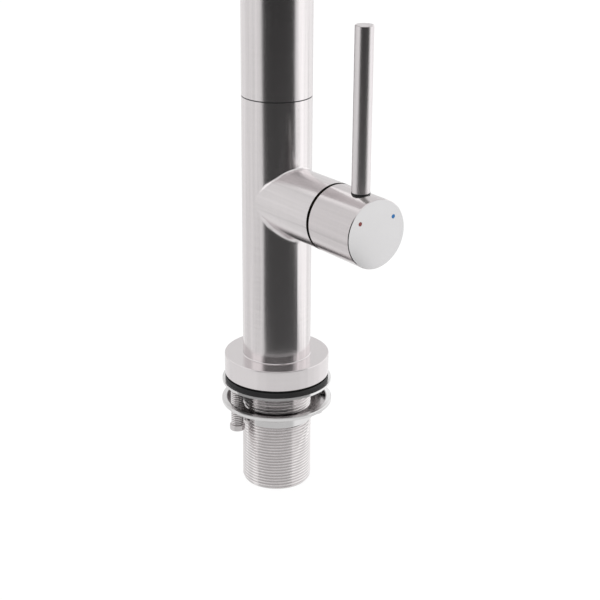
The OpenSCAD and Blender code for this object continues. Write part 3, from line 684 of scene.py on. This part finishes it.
FLOOR_Z = -55.2 * MM
FLOOR_R = 8.0
DARK_CARD_Z = FLOOR_Z + MM
BRIGHT_CARD_Z = FLOOR_Z + 0.5 * MM
CARD_FLOOR_R = 3.5
WALL_R = 1.6
SKY_R = 1.7


def polar(radius, degrees, z):
    """A point by its distance from z, its bearing and its height."""
    a = math.radians(degrees)
    return (radius * math.cos(a), radius * math.sin(a), z)


def card(name, corners, light, fade=None, faces=None):
    """A card of the studio, seen only in reflections. light is its brightness, or with fade
    pairs of a place and a brightness, where the place is the distance from z for "out" and
    the height for "up"."""
    mesh = bpy.data.meshes.new(name)
    mesh.from_pydata(corners, [], faces or [list(range(len(corners)))])
    made = add_object(name, mesh)
    material, tree = empty_material(name)
    glow = tree.nodes.new("ShaderNodeEmission")
    if fade:
        x, y, z = coordinates(tree, node(tree, "ShaderNodeTexCoord", out="Object"))
        way = (x * x + y * y).math("SQRT") if fade == "out" else z
        reach = light[-1][0]
        stops = [(at / reach, (level, level, level)) for at, level in light]
        shade = node(tree, "ShaderNodeValToRGB", {"stops": stops}, {0: way / reach})
        tree.links.new(shade.socket, glow.inputs["Color"])
    else:
        glow.inputs["Color"].default_value = (light, light, light, 1)
    set_surface(tree, glow.outputs[0])
    mesh.materials.append(material)
    made.visible_camera = False
    made.visible_diffuse = False
    made.visible_shadow = False
    made.visible_transmission = False


def curved_card(name, radius, degrees, low, high, light, fade=None):
    """A card bent round z between two bearings and two heights."""
    start, stop = degrees
    facet = 4
    n = max(2, round(abs(stop - start) / facet))
    bearings = [start + (stop - start) * i / n for i in range(n + 1)]
    corners = [polar(radius, a, z) for z in (low, high) for a in bearings]
    faces = [(i, i + 1, n + 2 + i, n + 1 + i) for i in range(n)]
    card(name, corners, light, fade, faces)


def floor_sector(name, nearest, degrees, light):
    """A bright card on the floor between two bearings."""
    start, stop = degrees
    outline = [polar(nearest, a, BRIGHT_CARD_Z) for a in range(start, stop + 1)]
    outline += [polar(CARD_FLOOR_R, a, BRIGHT_CARD_Z) for a in range(stop, start - 1, -1)]
    card(name, outline, light)


def floor():
    """The white ground. The camera sees it nearly white, with a faint shadow; reflections
    see it as even light grey, and all other light as pale paint."""
    mesh = bpy.data.meshes.new("floor")
    sides = 64
    outline = [polar(FLOOR_R, 360 * i / sides, FLOOR_Z) for i in range(sides)]
    mesh.from_pydata(outline, [], [list(range(sides))])
    made = add_object("floor", mesh)
    material, tree = empty_material("floor")
    path = tree.nodes.new("ShaderNodeLightPath")
    camera = Value(tree, path.outputs["Is Camera Ray"])
    glossy = Value(tree, path.outputs["Is Glossy Ray"])
    through = Value(tree, path.outputs["Is Transmission Ray"])
    mirrored = glossy.math("MAXIMUM", through)
    paint = node(tree, "ShaderNodeBsdfDiffuse", None, {"Color": (0.86, 0.86, 0.86, 1)})
    shade = node(tree, "ShaderNodeBsdfDiffuse", None, {"Color": (0.14, 0.14, 0.14, 1)})
    glow = node(tree, "ShaderNodeEmission", None, {"Color": (0.9, 0.9, 0.9, 1), "Strength": 1.0})
    pale = node(tree, "ShaderNodeAddShader", None, {0: shade, 1: glow})
    dim = node(tree, "ShaderNodeEmission", None, {"Color": (0.8, 0.8, 0.8, 1), "Strength": 1.0})
    mixed = node(tree, "ShaderNodeMixShader", None, {0: mirrored, 1: paint, 2: dim})
    mixed = node(tree, "ShaderNodeMixShader", None, {0: camera, 1: mixed, 2: pale})
    set_surface(tree, mixed.socket)
    mesh.materials.append(material)


floor()

# Dark surroundings in front of the tap: they make the dark band on the column
DARK_EDGE_RIGHT = [(0.185, 43), (0.2, 42), (0.323, 36), (0.791, 24), (WALL_R, 24)]
DARK_EDGE_LEFT = [(WALL_R, -84), (0.8, -83), (0.33, -80), (0.2, -78), (0.185, -78)]
WALL_TOP = 2.8
FLOOR_TONES = [(0.0, 0.069), (0.7, 0.064), (1.2, 0.045), (WALL_R, 0.029)]
WALL_TONES = [(0.0, 0.029), (0.8, 0.036), (1.1, 0.45), (1.4, 0.95), (WALL_TOP, 1.0)]
outline = [polar(r, a, DARK_CARD_Z) for r, a in DARK_EDGE_RIGHT]
outline += [polar(WALL_R, a, DARK_CARD_Z) for a in range(18, -84, -6)]
outline += [polar(r, a, DARK_CARD_Z) for r, a in DARK_EDGE_LEFT]
card("dark_floor", outline, FLOOR_TONES, "out")
curved_card("dark_wall", WALL_R, (-84, 24), FLOOR_Z, WALL_TOP, WALL_TONES, "up")

# Bright walls and floors beside the dark band and behind the tap
curved_card("left_sky", SKY_R, (-125, -88), 0.1, 1.1, 1.25)
curved_card("right_sky", SKY_R, (40, 118), 0.1, 1.1, 1.25)
floor_sector("bright_floor", 0.166, (24, 76), 1.2)
floor_sector("fading_floor", 0.166, (76, 120), 1.0)
floor_sector("rear_floor", 0.05, (138, 205), 0.9)
curved_card("rear_sky", SKY_R, (150, 195), 0.95, 2.2, 1.2)

# Reflections leave out the lever, so that the column beside it stays even
nodes["lever_rod"].visible_glossy = False

# Small reflectors round the flange, the clamp set and the shank: radius, lowest and highest
# millimetre, first bearing and light of each card, and the bearing where the last card ends
REFLECTORS = {
    "flange": (0.031, (-3.4, 8.3), [
        (-112, 0.85), (-62, 0.80), (-50, 0.757), (-5, 0.788), (8, 0.85), (20, 0.913), (32, 0.985),
    ], 110),
    "clamp": (0.031, (-8.0, -3.4), [(-90, 0.34), (8, 1.05)], 110),
    "gap": (0.031, (-11.8, -8.0), [(-90, 0.34), (-65, 0.06), (8, 1.05)], 110),
    "gap_side": (0.0185, (-11.8, -3.4), [
        (-155, 0.5), (-145, 0.3), (-134, 0.15), (-122, 0.06),
    ], -92),
    "rim": (0.031, (-17.0, -11.8), [(-90, 0.78), (8, 0.74)], 110),
    "shank": (0.036, (-55.2, -17.1), [(-90, 0.62), (6, 0.95)], 110),
}
for name, (radius, (low, high), lights, end) in REFLECTORS.items():
    ends = [bearing for bearing, _ in lights[1:]] + [end]
    for i, ((start, light), stop) in enumerate(zip(lights, ends)):
        curved_card(f"{name}_light_{i}", radius, (start, stop), low * MM, high * MM, light)

# Surroundings: white as the background and as light, a little darker in reflections
world = bpy.data.worlds.new("studio")
bpy.context.scene.world = world
world.use_nodes = True
sky = world.node_tree
backdrop = sky.nodes["Background"]
backdrop.inputs["Color"].default_value = (1, 1, 1, 1)
backdrop.inputs["Strength"].default_value = 1.0
mirrored = Value(sky, sky.nodes.new("ShaderNodeLightPath").outputs["Is Glossy Ray"])
dim = node(sky, "ShaderNodeBackground", None, {"Color": (0.8, 0.8, 0.8, 1), "Strength": 1.0})
white = Value(sky, backdrop.outputs[0])
both = node(sky, "ShaderNodeMixShader", None, {0: mirrored, 1: white, 2: dim})
sky.links.new(both.socket, sky.nodes["World Output"].inputs[0])

# Camera, fitted by least squares to edges measured in the photo

camera = add_object("camera", bpy.data.cameras.new("camera"))
bpy.context.scene.camera = camera
camera.data.lens = 87.138
camera.data.sensor_width = 36.0
camera.data.clip_start = 0.01
camera.data.clip_end = 50.0
right = Vector((0.60317916, 0.79758099, 0.00628198))
up = Vector((-0.29608678, 0.21659165, 0.93027989))
back = right.cross(up)
turn = Matrix((right, up, back)).transposed().to_4x4()
camera.matrix_world = Matrix.Translation(Vector((512.5727, -375.9012, 287.5297)) * MM) @ turn

bpy.context.scene.view_settings.view_transform = "Standard"

low, high = cad_box
